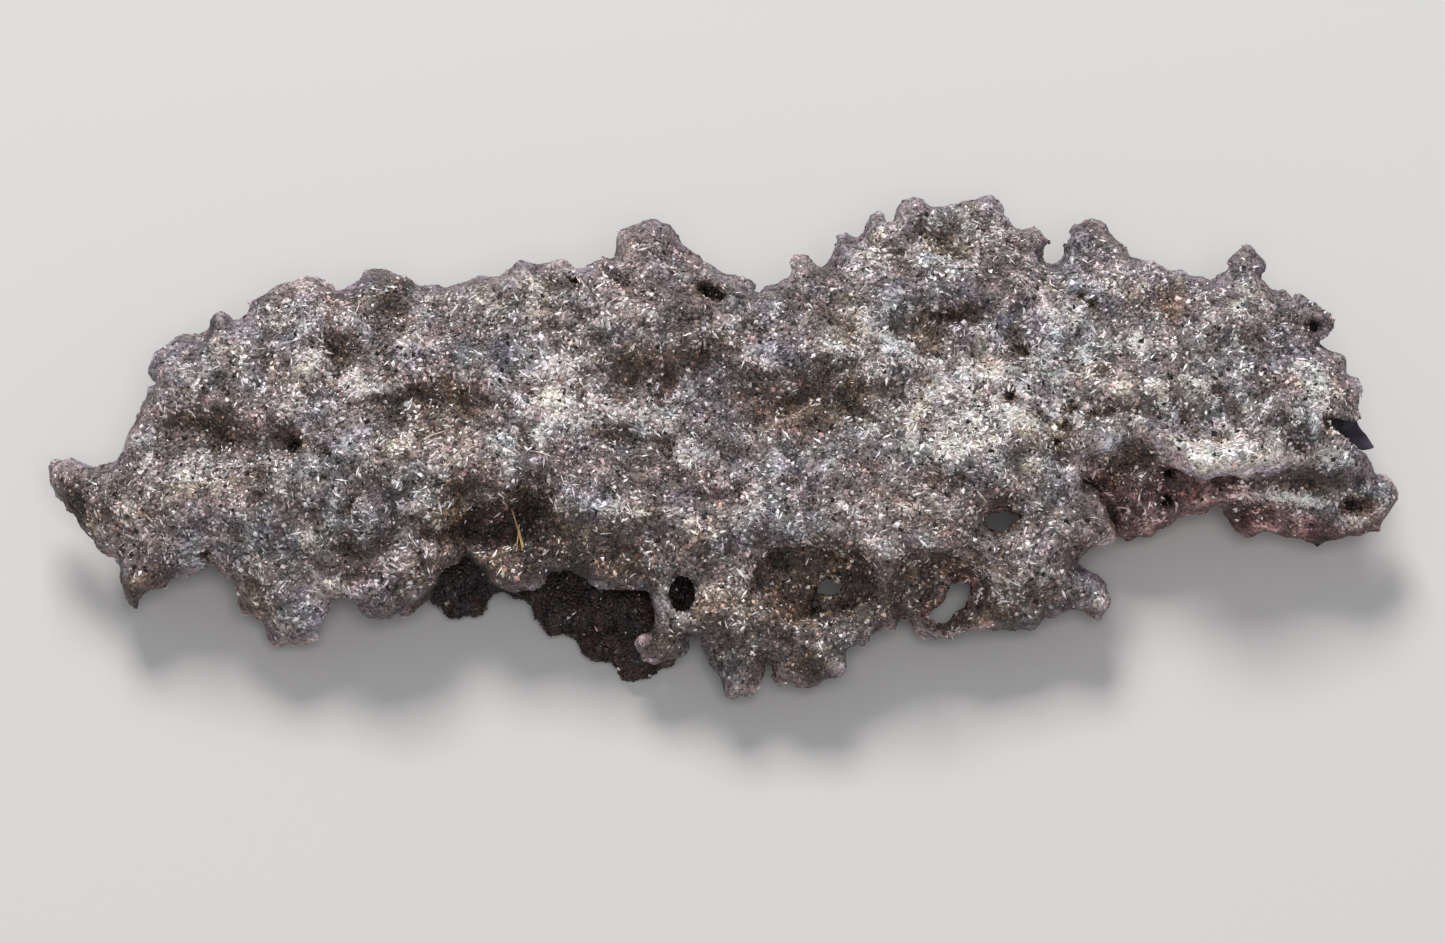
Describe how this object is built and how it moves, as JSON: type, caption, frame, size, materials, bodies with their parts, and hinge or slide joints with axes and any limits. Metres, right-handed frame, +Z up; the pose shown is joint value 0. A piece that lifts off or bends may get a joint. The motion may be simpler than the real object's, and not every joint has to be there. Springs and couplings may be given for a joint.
{
  "type": "sand fulgurite",
  "caption": "Flattened, crumpled tube of lightning-fused sand with a knobbly grey crust and ragged edges, lying free on worn knobs.",
  "frame": {"origin": "on the surface it lies on, under the middle of its outline", "axes": "+X along its length towards the end with the open slot, +Y towards its higher back edge, +Z up"},
  "size_m": [0.1106, 0.0426, 0.0161],
  "materials": {
    "fused_sand": "rough, glassy and sparkling grey crust of fused sand grains"
  },
  "bodies": {
    "root": {"fulgurite": "fused_sand"}
  },
  "joints": []
}
